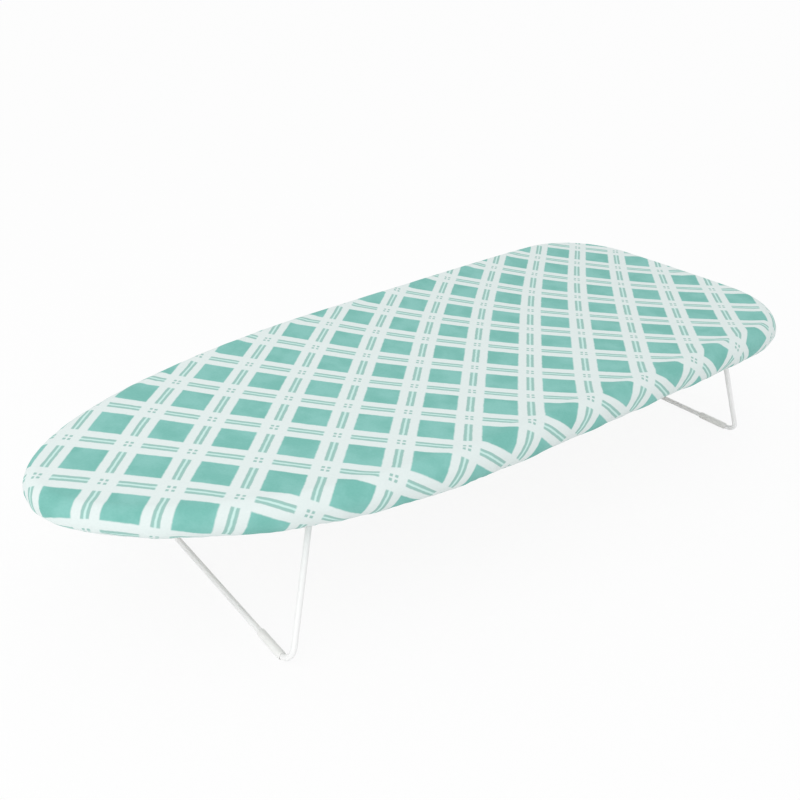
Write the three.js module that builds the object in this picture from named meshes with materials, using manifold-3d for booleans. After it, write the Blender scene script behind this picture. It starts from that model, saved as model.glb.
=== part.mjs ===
// Tabletop ironing board with two folding wire legs, open, in millimetres.
// +X runs from the nose to the square end, +Z is up, and the table is at z = 0.

import * as THREE from 'three';
import { mergeVertices } from 'three/addons/utils/BufferGeometryUtils.js';
import Module from 'manifold-3d';

const wasm = await Module();
wasm.setup();

// Overall size of the open board
const BOARD_LENGTH = 730;
const BOARD_WIDTH = 320;
const BOARD_HEIGHT = 130;

// Space left between pieces that touch
const CLEARANCE = 0.3;

// Outline seen from above: a nose rounder on its far side, nearly straight sides and a square end
const NOSE_OFFSET = 12;
const NEAR_NOSE_PULL = 67;
const FAR_NOSE_PULL = 104;
const SHOULDER_FROM_NOSE = 315;
const SHOULDER_WIDTH = 300;
const NEAR_SHOULDER_PULL = 186;
const FAR_SHOULDER_PULL = 82.5;
const FLANK_PULL = 110;
const CORNER_RADIUS = 89.5;

// Printed cotton cover with its rolled hem
const EDGE_THICKNESS = 30;
const COVER_THICKNESS = 1;
const TOP_EDGE_RADIUS = 13;
const BOTTOM_EDGE_RADIUS = 15;
const HEM_INSET = 26.5;
const ELASTIC_RADIUS = 1.5;

// The edge grows thinner from below towards the tip of the nose
const NOSE_TAPER = 8;
const TAPER_LENGTH = 175;

// Foam pad
const PAD_THICKNESS = 8;

// Expanded steel net
const NET_THICKNESS = 1;
const NET_INSET = 5;
const NET_MARGIN = 20;
const NET_CELL_LENGTH = 60;
const NET_CELL_WIDTH = 26;
const NET_GAP_SHARE = 0.8;

// Rolled steel rim
const RIM_SHEET = 1;
const RIM_INSET = 2.5;
const RIM_TOP_RADIUS = 3.5;
const RIM_BOTTOM_RADIUS = 12;
const RIM_TOP_FLANGE_INSET = 16;
const RIM_BOTTOM_FLANGE_INSET = 22.5;
const RIM_BEND_RISE = 1.12;

// Steel rails across the board
const RAIL_SHEET = 1.2;
const RAIL_WIDTH = 26;
const RAIL_DEPTH = 11.6;
const RAIL_END_INSET = 6;

// Wire legs, which lean outward when open
const WIRE_RADIUS = 2.4;
const WIRE_SIDES = 12;
const HINGE_BELOW_RAIL = 13.5;
const HINGE_BEND_RADIUS = 7;
const BAR_BEND_RADIUS = 10;
const FRONT_HINGE_FROM_NOSE = 159;
const FRONT_LEG_SPLAY = 43.7;
const FRONT_LEG_SPREAD = 36.7;
const BACK_HINGE_FROM_END = 101.5;
const BACK_LEG_SPLAY = 33.1;
const BACK_LEG_SPREAD = 13.8;

// Vinyl feet on the bar of each leg
const FOOT_RADIUS = 3.3;
const FOOT_LENGTH = 30;
const FOOT_FROM_CORNER = 13;

// Folded steel brackets with two ears and a stop tab
const BRACKET_SHEET = 1.5;
const BRACKET_LENGTH = 24;
const BRACKET_WIDTH = 16.5;
const EAR_SHOULDER = 5;
const EAR_TOE = 6;
const FRONT_EAR_FROM_HEM = 2;
const FRONT_EAR_FROM_LEG = 7.2;
const BACK_EAR_FROM_HEM = 8;
const BACK_EAR_FROM_LEG = 8.8;
const STOP_FROM_HINGE = 3;
const STOP_TO_HINGE = 7.5;
const STOP_PAST_LEG = 3.4;

// Rivets and push-on caps
const RIVET_RADIUS = 2;
const RIVET_HEAD_RADIUS = 3.6;
const RIVET_HEAD_HEIGHT = 1.8;
const RIVET_SPACING = 14;
const RIVET_SIDES = 10;
const CAP_RADIUS = 4.2;
const CAP_LENGTH = 6;
const CAP_WALL = 1.2;

// Heights that follow from the sizes above
const COVER_BOTTOM_Z = BOARD_HEIGHT - EDGE_THICKNESS;
const PAD_TOP_Z = BOARD_HEIGHT - COVER_THICKNESS - CLEARANCE;
const PAD_BOTTOM_Z = PAD_TOP_Z - PAD_THICKNESS;
const NET_BOTTOM_Z = PAD_BOTTOM_Z - CLEARANCE - NET_THICKNESS;
const RIM_TOP_Z = NET_BOTTOM_Z - CLEARANCE;
const RIM_BOTTOM_Z = COVER_BOTTOM_Z + COVER_THICKNESS + CLEARANCE;
const RAIL_BOTTOM_Z = RIM_TOP_Z - RAIL_DEPTH;
const HINGE_Z = RAIL_BOTTOM_Z - HINGE_BELOW_RAIL;
const BRACKET_TOP_Z = RAIL_BOTTOM_Z - CLEARANCE;
const BRACKET_PLATE_Z = BRACKET_TOP_Z - BRACKET_SHEET;
const LEG_DROP = HINGE_Z - FOOT_RADIUS;

// Materials
const material = (color, roughness, metalness) =>
  new THREE.MeshStandardMaterial({ color, roughness, metalness });
const PRINTED_COTTON = [0x9ed3ca, 0.9, 0];
const FOAM = [0xe9e2c8, 0.95, 0];
const ELASTIC = [0xf2f2ee, 0.8, 0];
const WHITE_STEEL = [0xf1f1ef, 0.45, 0.1];
const ALUMINIUM = [0xc9cbcc, 0.35, 0.95];
const WHITE_VINYL = [0xededea, 0.6, 0];

const board = new THREE.Group();
board.name = 'tabletop_ironing_board';

function addPiece(name, geometry, look) {
  const mesh = new THREE.Mesh(geometry, material(...look));
  mesh.name = name;
  board.add(mesh);
}

// Closed solid from a row of rings with equal point counts
function loft(rings, capped) {
  const count = rings[0].length;
  const positions = rings.flat().flatMap((point) => point.toArray());
  const faces = [];
  const bands = capped ? rings.length - 1 : rings.length;
  for (let r = 0; r < bands; r += 1) {
    const next = (r + 1) % rings.length;
    for (let i = 0; i < count; i += 1) {
      const j = (i + 1) % count;
      const [a, b] = [r * count + i, r * count + j];
      const [c, d] = [next * count + i, next * count + j];
      faces.push(a, c, d, a, d, b);
    }
  }
  if (capped) {
    const end = (rings.length - 1) * count;
    for (let i = 1; i < count - 1; i += 1) {
      faces.push(0, i, i + 1);
      faces.push(end, end + i + 1, end + i);
    }
  }
  const geometry = new THREE.BufferGeometry();
  geometry.setAttribute('position', new THREE.Float32BufferAttribute(positions, 3));
  geometry.setIndex(faces);
  return geometry;
}

function toSolid(geometry) {
  const bare = new THREE.BufferGeometry();
  bare.setAttribute('position', geometry.getAttribute('position'));
  bare.setIndex(geometry.getIndex());
  const merged = mergeVertices(bare, 1e-4);
  const vertProperties = new Float32Array(merged.getAttribute('position').array);
  const triVerts = new Uint32Array(merged.getIndex().array);
  return new wasm.Manifold(new wasm.Mesh({ numProp: 3, vertProperties, triVerts }));
}

function toGeometry(solid) {
  const mesh = solid.getMesh();
  const geometry = new THREE.BufferGeometry();
  geometry.setAttribute('position', new THREE.Float32BufferAttribute(mesh.vertProperties, 3));
  geometry.setIndex(Array.from(mesh.triVerts));
  return geometry;
}

// Box between two opposite corners, given in any order
function boxSolid(from, to) {
  const size = to.map((value, k) => Math.abs(value - from[k]));
  const middle = to.map((value, k) => (value + from[k]) / 2);
  return toSolid(new THREE.BoxGeometry(...size).translate(...middle));
}

// Regular polygon whose flats lie at the given radius
function roundPoints(flatRadius, sides) {
  const radius = flatRadius / Math.cos(Math.PI / sides);
  const points = [];
  for (let i = 0; i < sides; i += 1) {
    const angle = (2 * Math.PI * (i + 0.5)) / sides;
    points.push(new THREE.Vector2(radius * Math.cos(angle), radius * Math.sin(angle)));
  }
  return points;
}

// Arc of an edge profile as pairs of inset and height, angles in degrees, 0 pointing inward
function arcProfile(inset, z, radius, from, to, steps) {
  const points = [];
  for (let i = 0; i <= steps; i += 1) {
    const angle = THREE.MathUtils.degToRad(from + ((to - from) * i) / steps);
    points.push([inset + radius * Math.cos(angle), z + radius * Math.sin(angle)]);
  }
  return points;
}

// Half of the outline, from the tip of the nose to the middle of the square end; side is -1 on -Y
function outlineHalf(side, nosePull, shoulderPull) {
  const half = BOARD_LENGTH / 2;
  const edge = BOARD_WIDTH / 2;
  const tip = new THREE.Vector2(-half, NOSE_OFFSET);
  const shoulder = new THREE.Vector2(SHOULDER_FROM_NOSE - half, (side * SHOULDER_WIDTH) / 2);
  const corner = new THREE.Vector2(half - CORNER_RADIUS, side * edge);
  const run = corner.clone().sub(shoulder).normalize();
  const roundness = 0.5523 * CORNER_RADIUS;
  const turnEnd = side * (edge - CORNER_RADIUS);
  const nose = new THREE.CubicBezierCurve(
    tip,
    new THREE.Vector2(-half, NOSE_OFFSET + side * nosePull),
    shoulder.clone().addScaledVector(run, -shoulderPull),
    shoulder,
  );
  const flank = new THREE.CubicBezierCurve(
    shoulder,
    shoulder.clone().addScaledVector(run, FLANK_PULL),
    new THREE.Vector2(corner.x - FLANK_PULL, side * edge),
    corner,
  );
  const turn = new THREE.CubicBezierCurve(
    corner,
    new THREE.Vector2(corner.x + roundness, side * edge),
    new THREE.Vector2(half, turnEnd + side * roundness),
    new THREE.Vector2(half, turnEnd),
  );
  const end = new THREE.LineCurve(new THREE.Vector2(half, turnEnd), new THREE.Vector2(half, 0));
  return [
    ...nose.getPoints(20),
    ...flank.getPoints(7).slice(1),
    ...turn.getPoints(10).slice(1),
    ...end.getPoints(2).slice(1),
  ];
}

// The whole outline, from the tip of the nose along -Y to the square end and back along +Y
const OUTLINE = [
  ...outlineHalf(-1, NEAR_NOSE_PULL, NEAR_SHOULDER_PULL),
  ...outlineHalf(1, FAR_NOSE_PULL, FAR_SHOULDER_PULL).slice(1, -1).reverse(),
];

// The outline moved inward by the same distance all round
function insetOutline(inset) {
  return OUTLINE.map((point, i) => {
    const before = OUTLINE[(i + OUTLINE.length - 1) % OUTLINE.length];
    const after = OUTLINE[(i + 1) % OUTLINE.length];
    const into = point.clone().sub(before).normalize();
    const out = after.clone().sub(point).normalize();
    const inward = new THREE.Vector2(-into.y - out.y, into.x + out.x).normalize();
    const mitre = inset / (inward.x * -into.y + inward.y * into.x);
    return point.clone().addScaledVector(inward, mitre);
  });
}

// How far the underside of the edge rises towards the nose
function noseRise(x) {
  const share = THREE.MathUtils.clamp((TAPER_LENGTH - x - BOARD_LENGTH / 2) / TAPER_LENGTH, 0, 1);
  return NOSE_TAPER * share * share * (3 - 2 * share);
}

// Ring round the edge at an inset and a height, with the share of the rise that it takes
function edgeRing([inset, z, share = 0]) {
  const ring = insetOutline(inset);
  return ring.map((point, i) => new THREE.Vector3(point.x, point.y, z + share * noseRise(OUTLINE[i].x)));
}

// Arc under the edge: the lower a point of it, the more it rises, from the least share upward
function risingArc(inset, z, radius, from, to, steps, least = 0) {
  const points = arcProfile(inset, z, radius, from, to, steps);
  return points.map(([across, height]) => [across, height, least + ((1 - least) * (z - height)) / radius]);
}

// Arc that rises as a whole
function raisedArc(inset, z, radius, from, to, steps) {
  return arcProfile(inset, z, radius, from, to, steps).map(([across, height]) => [across, height, 1]);
}

function boardPrism(inset, z0, z1) {
  const shape = new THREE.Shape(insetOutline(inset));
  const plate = new THREE.ExtrudeGeometry(shape, { depth: z1 - z0, bevelEnabled: false });
  return toSolid(plate.translate(0, 0, z0));
}

// Distance from a point inside the outline to its nearest side
function depthInside(x, y) {
  let depth = Infinity;
  for (let i = 0; i < OUTLINE.length; i += 1) {
    const from = OUTLINE[i];
    const along = OUTLINE[(i + 1) % OUTLINE.length].clone().sub(from).normalize();
    depth = Math.min(depth, along.x * (y - from.y) - along.y * (x - from.x));
  }
  return depth;
}

// Half the width left inside the hem, at a place along the board
const HEM_RADIUS = ELASTIC_RADIUS + CLEARANCE + COVER_THICKNESS;

function widthInsideHem(x) {
  const side = insetOutline(HEM_INSET + HEM_RADIUS);
  let width = BOARD_WIDTH;
  side.forEach((from, i) => {
    const to = side[(i + 1) % side.length];
    if (from.x <= x !== to.x <= x) {
      const y = THREE.MathUtils.lerp(from.y, to.y, (x - from.x) / (to.x - from.x));
      width = Math.min(width, Math.abs(y));
    }
  });
  return width;
}

// Places of a leg: its bracket sits inside the hem, and its wire leans out from the bracket to the bar
function legPlaces(name, outward, hingeX, [earFromHem, earFromLeg], [splay, spread]) {
  const narrowEnd = widthInsideHem(hingeX - BRACKET_LENGTH / 2);
  const wideEnd = widthInsideHem(hingeX + BRACKET_LENGTH / 2);
  const earHalf = Math.min(narrowEnd, wideEnd) - earFromHem;
  const hingeHalf = earHalf + earFromLeg;
  const length = Math.hypot(splay, LEG_DROP);
  return { name, outward, hingeX, earHalf, hingeHalf, barHalf: hingeHalf + spread, splay, length };
}

const frontHingeX = FRONT_HINGE_FROM_NOSE - BOARD_LENGTH / 2;
const backHingeX = BOARD_LENGTH / 2 - BACK_HINGE_FROM_END;
const FRONT_LEG = legPlaces(
  'front',
  -1,
  frontHingeX,
  [FRONT_EAR_FROM_HEM, FRONT_EAR_FROM_LEG],
  [FRONT_LEG_SPLAY, FRONT_LEG_SPREAD],
);
const BACK_LEG = legPlaces(
  'back',
  1,
  backHingeX,
  [BACK_EAR_FROM_HEM, BACK_EAR_FROM_LEG],
  [BACK_LEG_SPLAY, BACK_LEG_SPREAD],
);

// Cover: flat top, rounded edge, turned under and rolled into a hem
const topArcZ = BOARD_HEIGHT - TOP_EDGE_RADIUS;
const bottomArcZ = COVER_BOTTOM_Z + BOTTOM_EDGE_RADIUS;
const hemZ = COVER_BOTTOM_Z + HEM_RADIUS;
const coverProfile = [
  ...arcProfile(TOP_EDGE_RADIUS, topArcZ, TOP_EDGE_RADIUS, 90, 180, 4),
  ...risingArc(BOTTOM_EDGE_RADIUS, bottomArcZ, BOTTOM_EDGE_RADIUS, 180, 270, 4),
  ...raisedArc(HEM_INSET, hemZ, HEM_RADIUS, -90, 135, 5),
  ...raisedArc(HEM_INSET, hemZ, HEM_RADIUS - COVER_THICKNESS, 135, -90, 5),
  ...risingArc(BOTTOM_EDGE_RADIUS, bottomArcZ, BOTTOM_EDGE_RADIUS - COVER_THICKNESS, 270, 180, 4),
  ...arcProfile(TOP_EDGE_RADIUS, topArcZ, TOP_EDGE_RADIUS - COVER_THICKNESS, 180, 90, 4),
];
addPiece('cover', loft(coverProfile.map(edgeRing), true), PRINTED_COTTON);

// Elastic cord inside the hem
const elasticProfile = raisedArc(HEM_INSET, hemZ, ELASTIC_RADIUS, 90, 405, 7);
addPiece('hem_elastic', loft(elasticProfile.map(edgeRing), false), ELASTIC);

// Foam pad, rounded like the inside of the cover
const padRadius = TOP_EDGE_RADIUS - COVER_THICKNESS - CLEARANCE;
const padEdge = Math.sqrt(padRadius ** 2 - (PAD_BOTTOM_Z - topArcZ) ** 2);
const padProfile = [
  ...arcProfile(TOP_EDGE_RADIUS, topArcZ, padRadius, 90, 157.5, 3),
  [TOP_EDGE_RADIUS - padEdge, PAD_BOTTOM_Z],
];
addPiece('pad', loft(padProfile.map(edgeRing), true), FOAM);

// Expanded steel net: rows of diamond gaps, every other row moved half a cell
const netShape = new THREE.Shape(insetOutline(NET_INSET));
const gapX = (NET_CELL_LENGTH / 2) * NET_GAP_SHARE;
const gapY = (NET_CELL_WIDTH / 2) * NET_GAP_SHARE;
const rows = Math.ceil(BOARD_WIDTH / NET_CELL_WIDTH);
const columns = Math.ceil(BOARD_LENGTH / NET_CELL_LENGTH);
for (let row = -rows; row <= rows; row += 1) {
  for (let column = -columns; column <= columns; column += 1) {
    const x = (column + (row % 2 ? 0.5 : 0)) * NET_CELL_LENGTH;
    const y = (row * NET_CELL_WIDTH) / 2;
    const gap = [[x + gapX, y], [x, y + gapY], [x - gapX, y], [x, y - gapY]];
    if (gap.every((corner) => depthInside(...corner) > NET_MARGIN)) {
      netShape.holes.push(new THREE.Path(gap.map((corner) => new THREE.Vector2(...corner))));
    }
  }
}
const net = new THREE.ExtrudeGeometry(netShape, { depth: NET_THICKNESS, bevelEnabled: false });
addPiece('net', net.translate(0, 0, NET_BOTTOM_Z), WHITE_STEEL);

// Rim: a channel rolled from sheet, open toward the middle of the board
const rimTopArc = [RIM_INSET + RIM_TOP_RADIUS, RIM_TOP_Z - RIM_TOP_RADIUS];
const rimBottomArc = [RIM_INSET + RIM_BOTTOM_RADIUS, RIM_BOTTOM_Z + RIM_BOTTOM_RADIUS];
const rimProfile = [
  [RIM_TOP_FLANGE_INSET, RIM_TOP_Z],
  ...arcProfile(...rimTopArc, RIM_TOP_RADIUS, 90, 180, 2),
  ...risingArc(...rimBottomArc, RIM_BOTTOM_RADIUS, 180, 270, 3, RIM_BEND_RISE / NOSE_TAPER),
  [RIM_BOTTOM_FLANGE_INSET, RIM_BOTTOM_Z, 1],
  [RIM_BOTTOM_FLANGE_INSET, RIM_BOTTOM_Z + RIM_SHEET, 1],
  ...risingArc(...rimBottomArc, RIM_BOTTOM_RADIUS - RIM_SHEET, 270, 180, 3, RIM_BEND_RISE / NOSE_TAPER),
  ...arcProfile(...rimTopArc, RIM_TOP_RADIUS - RIM_SHEET, 180, 90, 2),
  [RIM_TOP_FLANGE_INSET, RIM_TOP_Z - RIM_SHEET],
];
addPiece('rim', loft(rimProfile.map(edgeRing), false), WHITE_STEEL);

// Rails: channels open upward, held in the rim and standing up to the net between its flanges
const seatTopZ = RIM_TOP_Z - RIM_SHEET - CLEARANCE;
const insideRim = boardPrism(RAIL_END_INSET, RAIL_BOTTOM_Z, seatTopZ);
const insideFlange = boardPrism(RIM_TOP_FLANGE_INSET + CLEARANCE, RAIL_BOTTOM_Z, RIM_TOP_Z);
const railRoom = insideRim.add(insideFlange);

function railSolid(x) {
  const reach = BOARD_WIDTH / 2;
  const [x0, x1] = [x - RAIL_WIDTH / 2, x + RAIL_WIDTH / 2];
  const floor = boxSolid([x0, -reach, RAIL_BOTTOM_Z], [x1, reach, RAIL_BOTTOM_Z + RAIL_SHEET]);
  const wall = boxSolid([x0, -reach, RAIL_BOTTOM_Z], [x0 + RAIL_SHEET, reach, RIM_TOP_Z]);
  const otherWall = boxSolid([x1 - RAIL_SHEET, -reach, RAIL_BOTTOM_Z], [x1, reach, RIM_TOP_Z]);
  return floor.add(wall).add(otherWall).intersect(railRoom);
}

function rivetHole(x, y, z0, z1) {
  const shape = new THREE.Shape(roundPoints(RIVET_RADIUS + CLEARANCE, RIVET_SIDES));
  const plug = new THREE.ExtrudeGeometry(shape, { depth: z1 - z0, bevelEnabled: false });
  return toSolid(plug.translate(x, y, z0));
}

// Places of the two rivets of a bracket
function rivetPlaces(leg, hand) {
  const y = hand * (leg.earHalf - BRACKET_WIDTH / 2);
  return [-1, 1].map((end) => [leg.hingeX + (end * RIVET_SPACING) / 2, y]);
}

function legRail(leg) {
  let rail = railSolid(leg.hingeX);
  for (const hand of [-1, 1]) {
    for (const [x, y] of rivetPlaces(leg, hand)) {
      rail = rail.subtract(rivetHole(x, y, RAIL_BOTTOM_Z - 1, RAIL_BOTTOM_Z + RAIL_SHEET + 1));
    }
  }
  return toGeometry(rail);
}

addPiece('front_rail', legRail(FRONT_LEG), WHITE_STEEL);
addPiece('middle_rail', toGeometry(railSolid((frontHingeX + backHingeX) / 2)), WHITE_STEEL);
addPiece('back_rail', legRail(BACK_LEG), WHITE_STEEL);

// Point in the plane of x and z, given along and across an open leg from its hinge
function alongLeg(leg, down, outside) {
  const run = (leg.outward * leg.splay) / leg.length;
  const drop = LEG_DROP / leg.length;
  return [run * down + leg.outward * drop * outside, -drop * down + Math.abs(run) * outside];
}

// Plate standing across the board, drawn in x and z from the hinge
function uprightPlate(leg, corners, y0, y1, hole) {
  const shape = new THREE.Shape(corners.map((corner) => new THREE.Vector2(...corner)));
  if (hole) {
    shape.holes.push(new THREE.Path(hole));
  }
  const plate = new THREE.ExtrudeGeometry(shape, { depth: Math.abs(y1 - y0), bevelEnabled: false });
  plate.rotateX(Math.PI / 2).translate(leg.hingeX, Math.max(y0, y1), HINGE_Z);
  return toSolid(plate);
}

// Bracket: a plate under the rail, two ears that hold the wire and a tab that stops the open leg
function bracketSolid(leg, hand) {
  const outer = leg.earHalf;
  const inner = outer - BRACKET_WIDTH;
  const out = leg.outward;
  const half = BRACKET_LENGTH / 2;
  const top = BRACKET_TOP_Z - HINGE_Z;
  const stopFace = WIRE_RADIUS + CLEARANCE;
  const stopBack = stopFace + BRACKET_SHEET;
  const hole = roundPoints(WIRE_RADIUS + CLEARANCE, WIRE_SIDES);
  const shoulders = [[-out * half, EAR_SHOULDER], [-out * half, top], [out * half, top], [out * half, EAR_SHOULDER]];
  const shortEar = [...shoulders, [out * EAR_TOE, -EAR_TOE], [-out * EAR_TOE, -EAR_TOE]];
  const longEar = [
    ...shoulders,
    alongLeg(leg, STOP_TO_HINGE, stopBack),
    alongLeg(leg, STOP_TO_HINGE, -stopFace),
    [-out * EAR_TOE, -EAR_TOE],
  ];
  const tab = [
    alongLeg(leg, STOP_FROM_HINGE, stopFace),
    alongLeg(leg, STOP_TO_HINGE, stopFace),
    alongLeg(leg, STOP_TO_HINGE, stopBack),
    alongLeg(leg, STOP_FROM_HINGE, stopBack),
  ];
  const plate = boxSolid(
    [leg.hingeX - half, hand * inner, BRACKET_PLATE_Z],
    [leg.hingeX + half, hand * outer, BRACKET_TOP_Z],
  );
  let bracket = plate
    .add(uprightPlate(leg, shortEar, hand * inner, hand * (inner + BRACKET_SHEET), hole))
    .add(uprightPlate(leg, longEar, hand * (outer - BRACKET_SHEET), hand * outer, hole))
    .add(uprightPlate(leg, tab, hand * (outer - BRACKET_SHEET / 2), hand * (leg.hingeHalf + STOP_PAST_LEG)));
  for (const [x, y] of rivetPlaces(leg, hand)) {
    bracket = bracket.subtract(rivetHole(x, y, BRACKET_PLATE_Z - 1, BRACKET_TOP_Z + 1));
  }
  return bracket;
}

// Rivet: a domed head under the bracket, a shank and a flat head inside the rail
function rivetGeometry(x, y) {
  const under = BRACKET_PLATE_Z - CLEARANCE;
  const over = RAIL_BOTTOM_Z + RAIL_SHEET + CLEARANCE;
  const profile = [
    [0, under - RIVET_HEAD_HEIGHT],
    [RIVET_HEAD_RADIUS * 0.6, under - RIVET_HEAD_HEIGHT * 0.8],
    [RIVET_HEAD_RADIUS, under],
    [RIVET_RADIUS, under],
    [RIVET_RADIUS, over],
    [RIVET_HEAD_RADIUS * 0.9, over],
    [RIVET_HEAD_RADIUS * 0.8, over + RIVET_HEAD_HEIGHT / 2],
    [0, over + RIVET_HEAD_HEIGHT / 2],
  ];
  const lathe = new THREE.LatheGeometry(profile.map((point) => new THREE.Vector2(...point)), RIVET_SIDES);
  return lathe.rotateX(Math.PI / 2).translate(x, y, 0);
}

// Wire path in the plane of the leg, as pairs across the board and down from the hinge
function wirePath(leg) {
  const tip = leg.earHalf - BRACKET_WIDTH - CAP_LENGTH + CAP_WALL;
  const corners = [
    new THREE.Vector2(-tip, 0),
    new THREE.Vector2(-leg.hingeHalf, 0),
    new THREE.Vector2(-leg.barHalf, leg.length),
    new THREE.Vector2(leg.barHalf, leg.length),
    new THREE.Vector2(leg.hingeHalf, 0),
    new THREE.Vector2(tip, 0),
  ];
  const radii = [0, HINGE_BEND_RADIUS, BAR_BEND_RADIUS, BAR_BEND_RADIUS, HINGE_BEND_RADIUS, 0];
  const path = [corners[0]];
  for (let i = 1; i < corners.length - 1; i += 1) {
    const into = corners[i].clone().sub(corners[i - 1]).normalize();
    const out = corners[i + 1].clone().sub(corners[i]).normalize();
    const reach = radii[i] * Math.tan(Math.acos(into.dot(out)) / 2);
    const from = corners[i].clone().addScaledVector(into, -reach);
    const to = corners[i].clone().addScaledVector(out, reach);
    path.push(...new THREE.QuadraticBezierCurve(from, corners[i], to).getPoints(5));
  }
  path.push(corners[corners.length - 1]);
  return path;
}

function legGeometry(leg) {
  const path = wirePath(leg);
  const [downX, downZ] = alongLeg(leg, 1, 0);
  const [awayX, awayZ] = alongLeg(leg, 0, 1);
  const section = roundPoints(WIRE_RADIUS * Math.cos(Math.PI / WIRE_SIDES), WIRE_SIDES);
  const rings = path.map((point, i) => {
    const before = path[Math.max(i - 1, 0)];
    const after = path[Math.min(i + 1, path.length - 1)];
    const along = after.clone().sub(before).normalize();
    return section.map((corner) => {
      const across = point.x - along.y * corner.x;
      const down = point.y + along.x * corner.x;
      const x = leg.hingeX + down * downX + corner.y * leg.outward * awayX;
      const z = HINGE_Z + down * downZ + corner.y * leg.outward * awayZ;
      return new THREE.Vector3(x, across, z);
    });
  });
  return loft(rings, true);
}

// Foot: a sleeve round the bar with a flat side on the table
function footGeometry(leg, hand) {
  const far = leg.barHalf - FOOT_FROM_CORNER;
  const flat = Math.cos(Math.PI / WIRE_SIDES);
  const inside = (WIRE_RADIUS + CLEARANCE) / flat;
  const outside = FOOT_RADIUS / flat;
  const [y0, y1] = [hand * far, hand * (far - FOOT_LENGTH)].sort((a, b) => a - b);
  const profile = [[inside, y0], [outside, y0], [outside, y1], [inside, y1], [inside, y0]];
  const points = profile.map((point) => new THREE.Vector2(...point));
  const sleeve = new THREE.LatheGeometry(points, WIRE_SIDES, Math.PI / WIRE_SIDES);
  return sleeve.translate(leg.hingeX + leg.outward * leg.splay, 0, FOOT_RADIUS);
}

// Cap: a cup pushed on the end of the wire inside the bracket
function capGeometry(leg, hand) {
  const mouth = leg.earHalf - BRACKET_WIDTH - CLEARANCE;
  const floor = mouth - CAP_LENGTH + CAP_WALL - CLEARANCE;
  const back = floor - CAP_WALL;
  const inside = (WIRE_RADIUS + CLEARANCE) / Math.cos(Math.PI / WIRE_SIDES);
  const profile = [[0, back], [CAP_RADIUS, back], [CAP_RADIUS, mouth], [inside, mouth], [inside, floor]];
  profile.push([0, floor]);
  const points = profile.map(([radius, y]) => new THREE.Vector2(radius, hand * y));
  if (hand < 0) {
    points.reverse();
  }
  return new THREE.LatheGeometry(points, WIRE_SIDES).translate(leg.hingeX, 0, HINGE_Z);
}

// Both legs with their brackets, rivets, caps and feet; left is -Y
for (const leg of [FRONT_LEG, BACK_LEG]) {
  for (const [sideName, hand] of [['left', -1], ['right', 1]]) {
    addPiece(`${leg.name}_bracket_${sideName}`, toGeometry(bracketSolid(leg, hand)), WHITE_STEEL);
    rivetPlaces(leg, hand).forEach(([x, y], i) => {
      addPiece(`${leg.name}_rivet_${sideName}_${i + 1}`, rivetGeometry(x, y), ALUMINIUM);
    });
    addPiece(`${leg.name}_cap_${sideName}`, capGeometry(leg, hand), WHITE_VINYL);
    addPiece(`${leg.name}_foot_${sideName}`, footGeometry(leg, hand), WHITE_VINYL);
  }
  addPiece(`${leg.name}_leg`, legGeometry(leg), WHITE_STEEL);
}

export default board;
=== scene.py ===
import math

import bmesh
import bpy
import numpy as np
from mathutils import Matrix, Vector
from mathutils.geometry import interpolate_bezier


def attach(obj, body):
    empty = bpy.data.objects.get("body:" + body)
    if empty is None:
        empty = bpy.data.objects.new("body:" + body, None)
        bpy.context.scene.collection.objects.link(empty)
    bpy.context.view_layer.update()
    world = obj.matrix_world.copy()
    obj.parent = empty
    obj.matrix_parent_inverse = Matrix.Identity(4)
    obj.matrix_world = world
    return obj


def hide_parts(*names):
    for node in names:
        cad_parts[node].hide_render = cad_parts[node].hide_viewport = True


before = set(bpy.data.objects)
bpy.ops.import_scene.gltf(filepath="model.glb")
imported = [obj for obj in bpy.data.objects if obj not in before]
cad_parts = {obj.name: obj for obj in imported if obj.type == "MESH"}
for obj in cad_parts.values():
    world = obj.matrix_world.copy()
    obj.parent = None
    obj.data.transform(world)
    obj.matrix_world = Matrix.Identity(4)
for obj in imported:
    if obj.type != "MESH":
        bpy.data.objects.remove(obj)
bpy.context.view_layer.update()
MM = 0.001

# ---- Rim ----
# The board's frame is one roll-formed steel channel, open to the inside. It is bent round the
# outline of the board, butt welded at the middle of the square end and powder coated white.
HALF_LENGTH, HALF_WIDTH, NOSE_OFF = 365, 160, 12
NOSE_TIP = Vector((-HALF_LENGTH, NOSE_OFF, 0)) * MM
SQUARE_END = Vector((HALF_LENGTH, 0, 0)) * MM
SHOULDER_X, SHOULDER_HALF, CORNER_ROUND = -50, 150, 89.5
FLANK_PULL, END_PULL, QUARTER_ROUND = 110, 23, 0.5523
NOSE_TAPER, TAPER_LENGTH = 8, 175
RIM_TOP, RIM_BOTTOM, RIM_SHEET, RIM_INSET = 119.1, 101.3, 1, 2.5
RIM_TOP_ROUND, RIM_UNDER_ROUND = 3.5, 12
UPPER_FLANGE_END, LOWER_FLANGE_END = 16, 22.5
COAT_WHITE, COAT_SHADE = (0.94, 0.942, 0.938, 1), (0.90, 0.902, 0.898, 1)


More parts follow.
